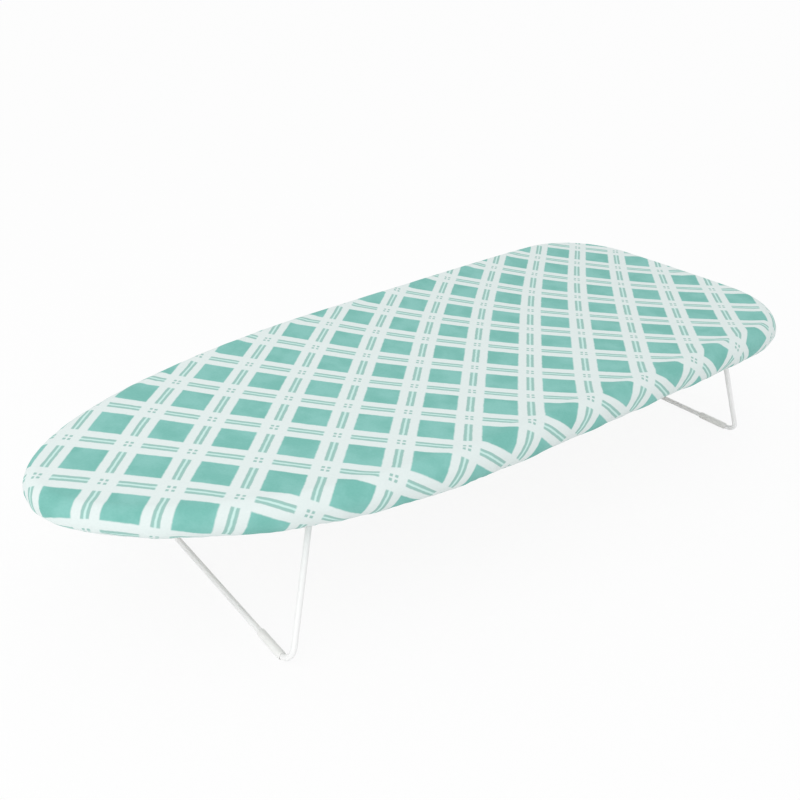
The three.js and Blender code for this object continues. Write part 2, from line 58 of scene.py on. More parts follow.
def long_side(hand, nose_pull, shoulder_pull):
    """Knots of one side from nose to end: the place, the handle before it and the one after it."""
    shoulder = Vector((SHOULDER_X, hand * SHOULDER_HALF, 0)) * MM
    corner_start = Vector((HALF_LENGTH - CORNER_ROUND, hand * HALF_WIDTH, 0)) * MM
    corner_end = Vector((HALF_LENGTH, hand * (HALF_WIDTH - CORNER_ROUND), 0)) * MM
    along, outward = Vector((1, 0, 0)) * MM, Vector((0, hand, 0)) * MM
    run = (corner_start - shoulder).normalized() * MM
    turn = QUARTER_ROUND * CORNER_ROUND
    return [
        (NOSE_TIP, NOSE_TIP - outward * nose_pull, NOSE_TIP + outward * nose_pull),
        (shoulder, shoulder - run * shoulder_pull, shoulder + run * FLANK_PULL),
        (corner_start, corner_start - along * FLANK_PULL, corner_start + along * turn),
        (corner_end, corner_end + outward * turn, corner_end - outward * END_PULL),
        (SQUARE_END, SQUARE_END + outward * END_PULL, SQUARE_END - outward * END_PULL),
    ]


# The nose is a little rounder on its far side, so its tip lies off the middle.
SIDES = {-1: long_side(-1, 67, 186), 1: long_side(1, 104, 82.5)}


def nose_rise(x):
    """How far the underside of the edge is drawn up towards the nose, at x in millimetres."""
    share = np.clip((TAPER_LENGTH - HALF_LENGTH - x) / TAPER_LENGTH, 0, 1)
    return NOSE_TAPER * share * share * (3 - 2 * share)


def only(piece):
    """Leave one piece selected and active, and nothing else."""
    bpy.ops.object.select_all(action="DESELECT")
    piece.select_set(True)
    bpy.context.view_layer.objects.active = piece


def edit_all(piece):
    """Open one piece in edit mode with all of it selected."""
    only(piece)
    bpy.ops.object.mode_set(mode="EDIT")
    bpy.ops.mesh.select_all(action="SELECT")


def close_up(piece, merge=0.00002):
    """Merge doubled points and turn all faces outwards."""
    edit_all(piece)
    bpy.ops.mesh.remove_doubles(threshold=merge)
    bpy.ops.mesh.normals_make_consistent(inside=False)
    bpy.ops.object.mode_set(mode="OBJECT")


def new_piece(name, drawn):
    """Put a mesh or a curve into the scene as a piece of its own."""
    piece = bpy.data.objects.new(name, drawn)
    bpy.context.collection.objects.link(piece)
    return piece


def settle(piece, material, body, stands_for, angle=35):
    """Smooth a finished piece, give it its material and set it on its body."""
    only(piece)
    bpy.ops.object.transform_apply()
    bpy.ops.object.shade_smooth_by_angle(angle=math.radians(angle))
    piece.data.materials.clear()
    piece.data.materials.append(material)
    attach(piece, body)
    if stands_for:
        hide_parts(stands_for)


def arc(inset, z, radius, start, end, steps, least=0, most=0):
    """Bend in a section through the edge: inset, height and share of the rise at the nose."""
    turns = [math.radians(start + (end - start) * i / steps) for i in range(steps + 1)]
    shares = [least + (most - least) * max(0, -math.sin(a)) for a in turns]
    line = [(inset + radius * math.cos(a), z + radius * math.sin(a)) for a in turns]
    return [(*point, share) for point, share in zip(line, shares)]


def run_round_edge(name, section, steps):
    """Sweep a closed section round the board's outline and draw it up at the nose."""
    drawn = bpy.data.curves.new(name + "_section", "CURVE")
    line = drawn.splines.new("POLY")
    line.points.add(len(section) - 1)
    for point, (inset, z, _) in zip(line.points, section):
        point.co = (inset * MM, z * MM, 0, 1)
    line.use_cyclic_u = True
    section_piece = new_piece(name + "_section", drawn)
    bpy.ops.curve.primitive_bezier_circle_add(radius=0.1, location=(0, 0, 0))
    piece = bpy.context.object
    piece.name = name
    bpy.ops.object.mode_set(mode="EDIT")
    bpy.ops.curve.select_all(action="SELECT")
    bpy.ops.curve.subdivide(number_cuts=1)
    bpy.ops.object.mode_set(mode="OBJECT")
    near, far = SIDES[-1], SIDES[1]
    knots = [(NOSE_TIP, near[0][2], far[0][2])] + far[1:4]
    knots += [(SQUARE_END, far[4][1], near[4][1])] + [(p, b, a) for p, a, b in reversed(near[1:4])]
    for knot, (point, before, after) in zip(piece.data.splines[0].bezier_points, knots):
        knot.handle_left_type = knot.handle_right_type = "FREE"
        knot.co, knot.handle_left, knot.handle_right = point, before, after
    piece.data.dimensions = "2D"
    piece.data.fill_mode = "NONE"
    piece.data.resolution_u = piece.data.render_resolution_u = steps
    piece.data.bevel_mode = "OBJECT"
    piece.data.bevel_object = section_piece
    only(piece)
    bpy.ops.object.convert(target="MESH")
    bpy.data.objects.remove(section_piece)
    piece = bpy.context.object
    shares = [(z, share) for _, z, share in section]
    for v in piece.data.vertices:
        share = min(shares, key=lambda pair: abs(pair[0] * MM - v.co.z))[1]
        v.co.z += share * nose_rise(v.co.x / MM) * MM
    close_up(piece)
    return piece


def fill_in(node, values):
    """Give a node's inputs their values."""
    for label, value in values.items():
        node.inputs[label].default_value = value
    return node


def finish_grain():
    """The shared effect of a made surface: broad patches of tone, fine grain, uneven gloss."""
    group = bpy.data.node_groups.new("finish_grain", "ShaderNodeTree")
    for way, kind, labels in (
        ("INPUT", "Vector", ("Vector",)),
        ("INPUT", "Color", ("Light", "Shade")),
        ("INPUT", "Float", ("Patches", "Grain", "Smooth", "Rough")),
        ("OUTPUT", "Color", ("Color",)),
        ("OUTPUT", "Float", ("Roughness", "Height")),
    ):
        for label in labels:
            group.interface.new_socket(label, in_out=way, socket_type="NodeSocket" + kind)
    given = group.nodes.new("NodeGroupInput")
    made = group.nodes.new("NodeGroupOutput")
    patches = fill_in(group.nodes.new("ShaderNodeTexNoise"), {"Detail": 3})
    grain = fill_in(group.nodes.new("ShaderNodeTexNoise"), {"Detail": 2})
    share = fill_in(group.nodes.new("ShaderNodeMapRange"), {"From Min": 0.32, "From Max": 0.68})
    gloss = fill_in(group.nodes.new("ShaderNodeMapRange"), {"From Min": 0.3, "From Max": 0.7})
    tone = group.nodes.new("ShaderNodeMix")
    tone.data_type = "RGBA"
    for source, leaves, target, enters in (
        (given, "Vector", patches, "Vector"), (given, "Patches", patches, "Scale"),
        (given, "Vector", grain, "Vector"), (given, "Grain", grain, "Scale"),
        (patches, "Fac", share, "Value"), (share, "Result", tone, "Factor"),
        (given, "Light", tone, "A"), (given, "Shade", tone, "B"), (grain, "Fac", gloss, "Value"),
        (given, "Smooth", gloss, "To Min"), (given, "Rough", gloss, "To Max"),
        (tone, "Result", made, "Color"), (gloss, "Result", made, "Roughness"),
        (grain, "Fac", made, "Height"),
    ):
        group.links.new(source.outputs[leaves], target.inputs[enters])
    return group


grain_group = finish_grain()


def made_finish(name, light, shade, patches, grain, gloss, metal=0.0, relief=0.00002, bump=0.3):
    """A material with its own tone, grain and gloss, read from where the piece is."""
    material = bpy.data.materials.new(name)
    material.use_nodes = True
    nodes, join = material.node_tree.nodes, material.node_tree.links.new
    shader = fill_in(nodes["Principled BSDF"], {"Metallic": metal})
    place = nodes.new("ShaderNodeTexCoord")
    finish = nodes.new("ShaderNodeGroup")
    finish.node_tree = grain_group
    fill_in(finish, {"Light": light, "Shade": shade, "Patches": patches, "Grain": grain})
    fill_in(finish, {"Smooth": gloss[0], "Rough": gloss[1]})
    ripple = fill_in(nodes.new("ShaderNodeBump"), {"Strength": bump, "Distance": relief})
    join(place.outputs["Object"], finish.inputs["Vector"])
    join(finish.outputs["Color"], shader.inputs["Base Color"])
    join(finish.outputs["Roughness"], shader.inputs["Roughness"])
    join(finish.outputs["Height"], ripple.inputs["Height"])
    join(ripple.outputs["Normal"], shader.inputs["Normal"])
    return material


# The coat melts into a fine orange peel, about 1.5 mm from crest to crest.
white_coat = made_finish(
    "white_powder_coat", COAT_WHITE, COAT_SHADE, patches=22, grain=650, gloss=(0.3, 0.44), bump=0.35
)
upper_bend = RIM_INSET + RIM_TOP_ROUND, RIM_TOP - RIM_TOP_ROUND
lower_bend = RIM_INSET + RIM_UNDER_ROUND, RIM_BOTTOM + RIM_UNDER_ROUND
rim_section = [(UPPER_FLANGE_END, RIM_TOP, 0)]
rim_section += arc(*upper_bend, RIM_TOP_ROUND, 90, 180, 5)
rim_section += arc(*lower_bend, RIM_UNDER_ROUND, 180, 270, 8, 0.14, 1)
rim_section += [(LOWER_FLANGE_END, RIM_BOTTOM, 1), (LOWER_FLANGE_END, RIM_BOTTOM + RIM_SHEET, 1)]
rim_section += arc(*lower_bend, RIM_UNDER_ROUND - RIM_SHEET, 270, 180, 8, 0.14, 1)
rim_section += arc(*upper_bend, RIM_TOP_ROUND - RIM_SHEET, 180, 90, 5)
rim_section += [(UPPER_FLANGE_END, RIM_TOP - RIM_SHEET, 0)]
rim = run_round_edge("rim_channel", rim_section, 36)
settle(rim, white_coat, "board", "rim")


# ---- Cross rails ----
# Three pressed steel channels lie across the frame, open upwards, their ends let into the rim and
# spot welded to its upper flange. The outer two carry the leg brackets; each has a pressed bead.
RAIL_PLACES = {"front_rail": -206.0, "middle_rail": 28.75, "back_rail": 263.5}
RAIL_WIDTH, RAIL_SHEET, RAIL_FLOOR = 26, 1.2, 107.5
RAIL_END_INSET, FLANGE_CLEAR_INSET, RAILS_END = 6, 16.3, 350
WALL_LOW, WALL_MORE = 10.3, 1.3
RAIL_BEADS = {"front_rail": 58, "middle_rail": 112, "back_rail": 88}
BEAD_SLOPE, BEAD_RISE = 2.4, 2.2


def side_edge(hand, nose=96, flank=48, corner=48, end=12):
    """Evenly spaced (point, inward direction) along one side of the outline, nose to end."""
    found = []
    knots = SIDES[hand]
    for (p0, _, h0), (p1, h1, _), steps in zip(knots, knots[1:], (nose, flank, corner, end)):
        fine = np.array(interpolate_bezier(p0, h0, h1, p1, 1024))[:, :2]
        far_along = np.concatenate([[0], np.cumsum(np.linalg.norm(np.diff(fine, axis=0), axis=1))])
        slope = np.gradient(fine, axis=0)
        for i in range(steps + (p1 is SQUARE_END)):
            at = far_along[-1] * i / steps
            x, y = (np.interp(at, far_along, fine[:, k]) for k in (0, 1))
            dx, dy = (np.interp(at, far_along, slope[:, k]) for k in (0, 1))
            size = math.hypot(dx, dy)
            found.append((Vector((x, y, 0)), Vector((hand * dy / size, -hand * dx / size, 0))))
    found[0] = (NOSE_TIP.copy(), Vector((1, 0, 0)))
    found[-1] = (SQUARE_END.copy(), Vector((-1, 0, 0)))
    return found


def half_width(x, inset, hand):
    """How far one side of the outline, set in, lies from the middle line at x, in millimetres."""
    line = [p + n * inset * MM for p, n in side_edge(hand)]
    line = [p for p in line if p.x < RAILS_END * MM]
    return hand * float(np.interp(x * MM, [p.x for p in line], [p.y for p in line])) / MM


def pick(kind, test):
    """In edit mode, select the points, edges or faces whose middle passes the test."""
    bpy.ops.mesh.select_mode(type=kind)
    bpy.ops.mesh.select_all(action="DESELECT")
    drawn = bmesh.from_edit_mesh(bpy.context.object.data)
    for part in {"VERT": drawn.verts, "EDGE": drawn.edges, "FACE": drawn.faces}[kind]:
        ends = [part] if kind == "VERT" else part.verts
        middle = sum((v.co for v in ends), Vector()) / len(ends)
        if test(middle / MM):
            part.select_set(True)
    drawn.select_flush_mode()
    bmesh.update_edit_mesh(bpy.context.object.data)


def pull(x=0.0, y=0.0, z=0.0):
    """Extrude what is selected by so many millimetres."""
    bpy.ops.mesh.extrude_region_move(TRANSFORM_OT_translate={"value": (x * MM, y * MM, z * MM)})


def push(x=0.0, y=0.0, z=0.0):
    """Move what is selected by so many millimetres."""
    bpy.ops.transform.translate(value=(x * MM, y * MM, z * MM))


def finish_with(piece, kind, **settings):
    """Add a modifier and apply it."""
    only(piece)
    added = piece.modifiers.new(kind.lower(), kind)
    for label, value in settings.items():
        setattr(added, label, value)
    bpy.ops.object.modifier_apply(modifier=added.name)


def soften(piece, width, angle=40):
    """Round off the sharp edges of a piece."""
    finish_with(
        piece, "BEVEL",
        width=width * MM, segments=2, limit_method="ANGLE", angle_limit=math.radians(angle),
    )


def thicken(piece, sheet, plate_up):
    """Turn the outer faces of a folded sheet outwards, then give it its thickness."""
    edit_all(piece)
    bpy.ops.mesh.normals_make_consistent(inside=False)
    plate = next(f for f in bmesh.from_edit_mesh(piece.data).faces if abs(f.normal.z) > 0.99)
    if (plate.normal.z > 0) != plate_up:
        bpy.ops.mesh.flip_normals()
    bpy.ops.object.mode_set(mode="OBJECT")
    finish_with(piece, "SOLIDIFY", thickness=sheet * MM, offset=-1, use_even_offset=True)


def press_rail(name):
    """A rail from a flat strip: its bead is pressed up, then its two walls are folded up."""
    x, reach = RAIL_PLACES[name], RAIL_WIDTH / 2
    corners = [(x + side, hand) for side in (-reach, reach) for hand in (-1, 1)]
    inner = min(half_width(at, FLANGE_CLEAR_INSET, hand) for at, hand in corners)
    bpy.ops.mesh.primitive_grid_add(x_subdivisions=1, y_subdivisions=5, size=1)
    rail = bpy.context.object
    rail.name = name + "_channel"
    rows = sorted({round(v.co.y, 5) for v in rail.data.vertices})
    for v in rail.data.vertices:
        side = math.copysign(reach, v.co.x)
        near_end, far_end = (half_width(x + side, RAIL_END_INSET, hand) for hand in (-1, 1))
        steps = [-near_end, -inner - 0.6, -inner, inner, inner + 0.6, far_end]
        v.co = Vector((x + side, steps[rows.index(round(v.co.y, 5))], RAIL_FLOOR)) * MM
    bpy.ops.object.mode_set(mode="EDIT")
    pick("FACE", lambda m: abs(m.y) < inner - 10)
    bpy.ops.mesh.inset(thickness=0.5 * MM)
    pick("VERT", lambda m: abs(m.x - x) < 12.7 and abs(m.y) < inner - 0.3)
    bead = RAIL_BEADS[name]
    bpy.ops.transform.resize(value=(0.5, bead / inner, 1), center_override=(x * MM, 0, 0))
    pick("FACE", lambda m: abs(m.x - x) < 1 and abs(m.y) < inner - 10)
    bpy.ops.mesh.inset(thickness=BEAD_SLOPE * MM)
    push(z=BEAD_RISE)
    pick("EDGE", lambda m: abs(abs(m.x - x) - reach) < 0.2)
    pull(z=WALL_LOW)
    pick("VERT", lambda m: m.z > RAIL_FLOOR + WALL_LOW - 1.3 and abs(m.y) < inner + 0.2)
    push(z=WALL_MORE)
    bpy.ops.object.mode_set(mode="OBJECT")
    thicken(rail, RAIL_SHEET, plate_up=False)
    soften(rail, 0.5)
    settle(rail, white_coat, "board", name)


for rail_name in RAIL_PLACES:
    press_rail(rail_name)


# ---- Top mesh ----
# The ironing surface is expanded steel mesh, slit and stretched into diamonds, welded on top of the
# rim and rails and coated with them. It lets steam through and carries the pad.
NET_TOP, NET_SHEET, NET_INSET = 120.4, 1.0, 6.0
NET_LONG, NET_SHORT, NET_STRAND, NET_CELLS = 22.0, 9.6, 1.15, 72

bpy.ops.mesh.primitive_grid_add(x_subdivisions=NET_CELLS, y_subdivisions=NET_CELLS, size=NET_CELLS)
net = bpy.context.object
net.name = "expanded_mesh"
edit_all(net)
bpy.ops.transform.rotate(value=math.radians(45), orient_axis="Z", center_override=(0, 0, 0))
half_cell = math.sqrt(0.5)
bpy.ops.transform.resize(
    value=(NET_LONG * half_cell * MM, NET_SHORT * half_cell * MM, 1), center_override=(0, 0, 0)
)
push(z=NET_TOP)
net_edge = side_edge(-1) + side_edge(1)
net_line = np.array([(p + n * NET_INSET * MM)[:2] for p, n in net_edge]) / MM
net_inward = np.array([n[:2] for _, n in net_edge])
pick("VERT", lambda m: float(((np.array(m[:2]) - net_line) * net_inward).sum(axis=1).min()) < 0)
bpy.ops.mesh.delete(type="VERT")
bpy.ops.mesh.select_all(action="SELECT")
bpy.ops.mesh.inset(thickness=NET_STRAND / 2 * MM, use_individual=True)
bpy.ops.mesh.delete(type="FACE")
bpy.ops.mesh.select_all(action="SELECT")
bpy.ops.mesh.normals_make_consistent(inside=False)
bpy.ops.object.mode_set(mode="OBJECT")
if net.data.polygons[0].normal.z < 0:
    net.data.flip_normals()
finish_with(net, "SOLIDIFY", thickness=NET_SHEET * MM, offset=-1)
settle(net, white_coat, "board", "net")


# ---- Leg brackets ----
# Four folded steel brackets hang under the outer rails, coated white with the frame. Two ears carry
# the leg wire, and a tab bent off the long outer ear stops the leg when it is swung down.
HINGE_X = {"front": -206.0, "back": 263.5}
HINGE_Z, BRACKET_SHEET = 94.0, 1.5
EAR_OUTSIDE = {"front": 85.7, "back": 122.5}
TAB_LONG = {"front": 10.6, "back": 12.2}
TAB_FROM, TAB_TO, TAB_OFF = 3.0, 7.5, 2.7
PLATE_TOP, PLATE_REACH, PLATE_LONG = 13.2, 12.0, 16.5
EAR_SHOULDER, INNER_EAR_DROP, EAR_HOLE = 5, 11, 2.7
LEG_DROP = {
    "front": Vector((-43.7, 0, -90.7)).normalized(),
    "back": Vector((-33.1, 0, -90.7)).normalized(),
}


def beside_leg(end, down, off):
    """A point so far down the leg from the hinge and so far in front of the wire's centre line."""
    drop = LEG_DROP[end]
    return Vector((drop.x * down + drop.z * off, 0, drop.z * down - drop.x * off))


def fold_bracket(end):
    """A near bracket about its hinge, its leg leaning to -X: a plate, two ears and the stop tab."""
    bpy.ops.mesh.primitive_plane_add(size=1)
    bracket = bpy.context.object
    for v in bracket.data.vertices:
        edge_y = 0 if v.co.y < 0 else PLATE_LONG
        v.co = Vector((math.copysign(PLATE_REACH, v.co.x), edge_y, PLATE_TOP)) * MM
    bpy.ops.object.mode_set(mode="EDIT")
    pick("EDGE", lambda m: m.y < 0.1)
    pull(z=EAR_SHOULDER - PLATE_TOP)
    tab_top, tab_foot = beside_leg(end, TAB_FROM, TAB_OFF), beside_leg(end, TAB_TO, TAB_OFF)
    toe = beside_leg(end, TAB_TO, -TAB_OFF)
    heel = (6, -6)
    ear_rows = [
        [((-PLATE_REACH, EAR_SHOULDER), tab_top.xz), ((PLATE_REACH, EAR_SHOULDER), heel)],
        [(tab_top.xz, tab_foot.xz), (heel, toe.xz)],
    ]
    for row in ear_rows:
        pull()
        drawn = bmesh.from_edit_mesh(bracket.data)
        for v in (v for v in drawn.verts if v.select):
            here = v.co.xz / MM
            target = min(row, key=lambda pair: (Vector(pair[0]) - here).length)[1]
            v.co.x, v.co.z = target[0] * MM, target[1] * MM
        bmesh.update_edit_mesh(bracket.data)
    tab_edge = (tab_top + tab_foot) / 2
    pick("EDGE", lambda m: (m - tab_edge).length < 0.5)
    pull(y=-TAB_LONG[end])
    pick("EDGE", lambda m: m.y > PLATE_LONG - 0.1)
    pull(z=EAR_SHOULDER - PLATE_TOP)
    pull(z=-INNER_EAR_DROP)
    bpy.ops.transform.resize(value=(0.5, 1, 1), center_override=(0, 0, 0))
    bpy.ops.object.mode_set(mode="OBJECT")
    thicken(bracket, BRACKET_SHEET, plate_up=True)
    bpy.ops.mesh.primitive_cylinder_add(
        vertices=28,
        radius=EAR_HOLE * MM,
        depth=40 * MM,
        location=(0, 8 * MM, 0),
        rotation=(math.pi / 2, 0, 0),
    )
    drill = bpy.context.object
    finish_with(bracket, "BOOLEAN", object=drill, operation="DIFFERENCE", solver="EXACT")
    bpy.data.objects.remove(drill)
    soften(bracket, 0.3)
    return bracket


def copy_to(piece, name, flip_x=1, flip_y=1, place=(0, 0, 0)):
    """A copy with its own mesh, turned over where it is handed, at its own place in millimetres."""
    copy = new_piece(name, piece.data.copy())
    turned = Matrix.Diagonal((flip_x, flip_y, 1, 1))
    copy.data.transform(Matrix.Translation(Vector(place) * MM) @ turned)
    if flip_x * flip_y < 0:
        copy.data.flip_normals()
    return copy


for end, flip_x in (("front", 1), ("back", -1)):
    bracket = fold_bracket(end)
    for hand, flip_y in (("left", 1), ("right", -1)):
        place = (HINGE_X[end], -EAR_OUTSIDE[end] * flip_y, HINGE_Z)
        made = copy_to(bracket, f"{end}_bracket_{hand}_sheet", flip_x, flip_y, place)
        settle(made, white_coat, "board", f"{end}_bracket_{hand}")
    bpy.data.objects.remove(bracket)


# ---- Rivets ----
# Two aluminium rivets hold each bracket to its rail. Each has a domed factory head below the plate,
# and its tail is rolled over on top of the rail's floor.
RIVET_STEP, RIVET_MID = 7.0, PLATE_LONG / 2
RIVET_LINE = [
    (0, 103.6), (1.2, 103.68), (2.3, 103.98), (3.1, 104.5), (3.5, 105.05), (3.6, 105.4),
    (2.0, 105.4), (2.0, 109.0), (3.3, 109.0), (3.5, 109.3), (3.1, 109.75), (1.6, 109.9), (0, 109.6),
]
ALUMINIUM, ALUMINIUM_SHADE = (0.74, 0.745, 0.75, 1), (0.63, 0.635, 0.645, 1)


def lathe(name, line, steps, axis):
    """Spin a half section, given as (radius, place along the axis), once round its axis."""
    drawn = bpy.data.meshes.new(name)
    points = [Vector((radius, 0, 0)) * MM + Vector(axis) * along * MM for radius, along in line]
    drawn.from_pydata(points, [(i, i + 1) for i in range(len(line) - 1)], [])
    piece = new_piece(name, drawn)
    edit_all(piece)
    bpy.ops.mesh.spin(steps=steps, angle=2 * math.pi, center=(0, 0, 0), axis=axis)
    bpy.ops.object.mode_set(mode="OBJECT")
    close_up(piece)
    return piece


aluminium = made_finish(
    "rivet_aluminium", ALUMINIUM, ALUMINIUM_SHADE,
    patches=400, grain=1800, gloss=(0.3, 0.48), metal=1.0, relief=0.00001,
)
rivet = lathe("rivet", RIVET_LINE, 20, axis=(0, 0, 1))
for end in ("front", "back"):
    for hand, flip_y in (("left", 1), ("right", -1)):
        for number, step in ((1, -RIVET_STEP), (2, RIVET_STEP)):
            place = (HINGE_X[end] + step, -(EAR_OUTSIDE[end] - RIVET_MID) * flip_y, 0)
            made = copy_to(rivet, f"{end}_rivet_{hand}_{number}_head", place=place)
            settle(made, aluminium, "board", f"{end}_rivet_{hand}_{number}", 50)
bpy.data.objects.remove(rivet)


# ---- Legs ----
# Each leg set is one length of 4.8 mm steel wire, bent into a U that splays towards the floor, its
# two tips turned inwards through the bracket ears as hinge pins. It is coated white like the frame.
WIRE, HINGE_BEND, BAR_BEND = 2.4, 7, 10
HINGE_HALF = {"front": 92.9, "back": 131.3}
BAR_HALF = {"front": 129.6, "back": 145.1}
BAR_X = {"front": -249.7, "back": 296.6}
BAR_Z = 3.3
TIP_INSIDE = PLATE_LONG + 4.8


def bend_wire(name, corners, bends):
    """Draw a round wire through the corners: straight runs pulled out, each bend spun."""
    corners = [Vector(c) * MM for c in corners]
    runs = [(b - a).normalized() for a, b in zip(corners, corners[1:])]
    turn = Vector((0, 0, 1)).rotation_difference(runs[0]).to_euler()
    bpy.ops.mesh.primitive_circle_add(
        vertices=24, radius=WIRE * MM, location=corners[0], rotation=turn
    )
    wire = bpy.context.object
    wire.name = name
    bpy.ops.object.transform_apply()
    edit_all(wire)
    here = corners[0]
    for corner, before, after, bend in zip(corners[1:-1], runs, runs[1:], bends):
        angle = before.angle(after)
        setback = bend * MM * math.tan(angle / 2)
        straight = (corner - here).length - setback
        bpy.ops.mesh.extrude_region_move(TRANSFORM_OT_translate={"value": before * straight})
        turn_axis = before.cross(after).normalized()
        inward = turn_axis.cross(before)
        middle = corner - before * setback + inward * bend * MM
        bpy.ops.mesh.spin(steps=10, angle=-angle, center=middle, axis=turn_axis)
        here = corner + after * setback
    bpy.ops.mesh.extrude_region_move(TRANSFORM_OT_translate={"value": corners[-1] - here})
    bpy.ops.mesh.select_mode(type="EDGE")
    bpy.ops.mesh.select_all(action="DESELECT")
    bpy.ops.mesh.select_non_manifold(extend=False)
    bpy.ops.mesh.fill()
    bpy.ops.object.mode_set(mode="OBJECT")
    close_up(wire)
    soften(wire, 0.4, 60)
    return wire


for end in ("front", "back"):
    tip = EAR_OUTSIDE[end] - TIP_INSIDE
    near_line = [
        (HINGE_X[end], -tip, HINGE_Z),
        (HINGE_X[end], -HINGE_HALF[end], HINGE_Z),
        (BAR_X[end], -BAR_HALF[end], BAR_Z),
    ]
    far_line = [(x, -y, z) for x, y, z in reversed(near_line)]
    bends = (HINGE_BEND, BAR_BEND, BAR_BEND, HINGE_BEND)
    wire = bend_wire(end + "_leg_wire", near_line + far_line, bends)
    settle(wire, white_coat, end + "_leg_set", end + "_leg")


# ---- Feet and hinge caps ----
# Soft white vinyl sleeves are slipped on the floor bars to keep the board from sliding, and short
# vinyl caps close the cut tips of the wire inside the brackets.
FOOT_PLACES = {"front": (86.6, 116.6), "back": (102.1, 132.1)}
SLEEVE, SLEEVE_BORE, CAP_GAP = 3.3, 2.6, 0.3
CAP_LINE = [
    (0, 6.3), (2.2, 6.25), (3.4, 5.9), (4.0, 5.2), (4.2, 4.3), (4.2, 0.6), (3.9, 0.1), (3.4, 0),
    (2.7, 0), (2.7, 4.6), (0, 4.6),
]
VINYL, VINYL_SHADE = (0.90, 0.90, 0.885, 1), (0.83, 0.83, 0.81, 1)
vinyl = made_finish(
    "white_vinyl", VINYL, VINYL_SHADE, patches=60, grain=1200, gloss=(0.42, 0.6), relief=0.00003
)
for end in ("front", "back"):
    inner, outer = FOOT_PLACES[end]
    long = outer - inner
    mouth = [(SLEEVE_BORE, 0), (2.95, 0), (3.2, 0.2), (SLEEVE, 0.7), (SLEEVE, 4)]
    sleeve = mouth + [(radius, long - along) for radius, along in reversed(mouth)]
    sleeve += [(SLEEVE_BORE, long / 2), (SLEEVE_BORE, 0)]
    foot = lathe("foot", sleeve, 32, axis=(0, 1, 0))
    cap = lathe("cap", CAP_LINE, 28, axis=(0, 1, 0))
    tip_y = EAR_OUTSIDE[end] - PLATE_LONG - CAP_GAP
    for hand, flip_y in (("left", -1), ("right", 1)):
        body = end + "_leg_set"
        place = (BAR_X[end], inner * flip_y, BAR_Z)
        made = copy_to(foot, f"{end}_foot_{hand}_sleeve", 1, flip_y, place)
        settle(made, vinyl, body, f"{end}_foot_{hand}")
        place = (HINGE_X[end], tip_y * flip_y, HINGE_Z)
        made = copy_to(cap, f"{end}_cap_{hand}_tip", 1, -flip_y, place)
        settle(made, vinyl, body, f"{end}_cap_{hand}")
    bpy.data.objects.remove(foot)
    bpy.data.objects.remove(cap)


# ---- Pad ----
# An 8 mm pad of open polyurethane foam lies on the mesh, cut to the board's outline. The cover
# pulls its edge down round the rim, so that it has no corner.
PAD_TOP, PAD_UNDER, PAD_ROUND = 128.7, 120.7, 11.7
TOP_ROUND, ROUND_Z = 13, 117
SPINE = (-268 * MM, 205 * MM)
FOAM, FOAM_SHADE = (0.78, 0.75, 0.66, 1), (0.66, 0.62, 0.52, 1)


def whole_edge(**steps):
    """The outline all round: the near side from nose to end, then the far side back to the nose."""
    return side_edge(-1, **steps) + side_edge(1, **steps)[-2:0:-1]


def to_spine(edge, inset, shares):
    """Rings from an inset line in to the board's middle line, as arrays of x and y."""
    start = np.array([(p + n * inset * MM)[:2] for p, n in edge])
    middle = np.stack([np.clip(start[:, 0], *SPINE), np.zeros(len(start))], axis=1)
    return [start + (middle - start) * share for share in shares]


def laid_at(ring, z):
    """A ring of plan points laid at one height, in millimetres."""
    return np.column_stack([ring, np.full(len(ring), z * MM)])


def skin(name, rings):
    """A skin over rings of points, one ring after the other, each all the way round."""
    count = len(rings[0])
    faces = []
    for r in range(len(rings) - 1):
        for i in range(count):
            j = (i + 1) % count
            faces.append((r * count + i, r * count + j, (r + 1) * count + j, (r + 1) * count + i))
    drawn = bpy.data.meshes.new(name)
    drawn.from_pydata(np.concatenate(rings).tolist(), [], faces)
    return new_piece(name, drawn)


pad_edge = whole_edge(nose=80, flank=36, corner=36, end=8)
pad_shares = [1, 0.85, 0.7, 0.55, 0.4, 0.25, 0.12]
pad_flat = to_spine(pad_edge, TOP_ROUND, pad_shares)
pad_rings = [laid_at(ring, PAD_TOP) for ring in pad_flat]
for inset, z, _ in arc(TOP_ROUND, ROUND_Z, PAD_ROUND, 90, 159, 7) + [(2.0, PAD_UNDER, 0)]:
    pad_rings.append(np.array([(p + n * inset * MM) + Vector((0, 0, z * MM)) for p, n in pad_edge]))
pad_rings += [laid_at(ring, PAD_UNDER) for ring in reversed(pad_flat)]
pad = skin("foam_pad", pad_rings)
close_up(pad)
foam = made_finish(
    "open_foam", FOAM, FOAM_SHADE,
    patches=45, grain=1500, gloss=(0.85, 1.0), relief=0.0004, bump=0.7,
)
settle(pad, foam, "board", "pad", 50)


# ---- Hem elastic ----
# A 3 mm round elastic cord runs in the hem of the cover all the way round. Its pull gathers the hem
# under the rim and holds the cover on.
HEM_INSET, HEM_Z, HEM_RADIUS, CORD = 26.5, 102.8, 2.8, 1.5
ELASTIC, ELASTIC_SHADE = (0.80, 0.80, 0.78, 1), (0.66, 0.66, 0.64, 1)
elastic = run_round_edge("elastic_cord", arc(HEM_INSET, HEM_Z, CORD, 0, 330, 11, 1, 1), 30)
braid = made_finish(
    "braided_elastic", ELASTIC, ELASTIC_SHADE,
    patches=300, grain=1400, gloss=(0.7, 0.9), relief=0.0002, bump=0.6,
)
settle(elastic, braid, "board", "hem_elastic", 60)


# ---- Cover ----
# The removable cover is one piece of thin plain-weave cotton, printed with a diagonal plaid in pale
# teal on white. It is drawn tight over the pad and turned under the rim to a hem with elastic.
COVER_TOP, CLOTH = 130.0, 0.5
UNDER_ROUND, UNDER_Z, LIP_Z = 15, 115, 100
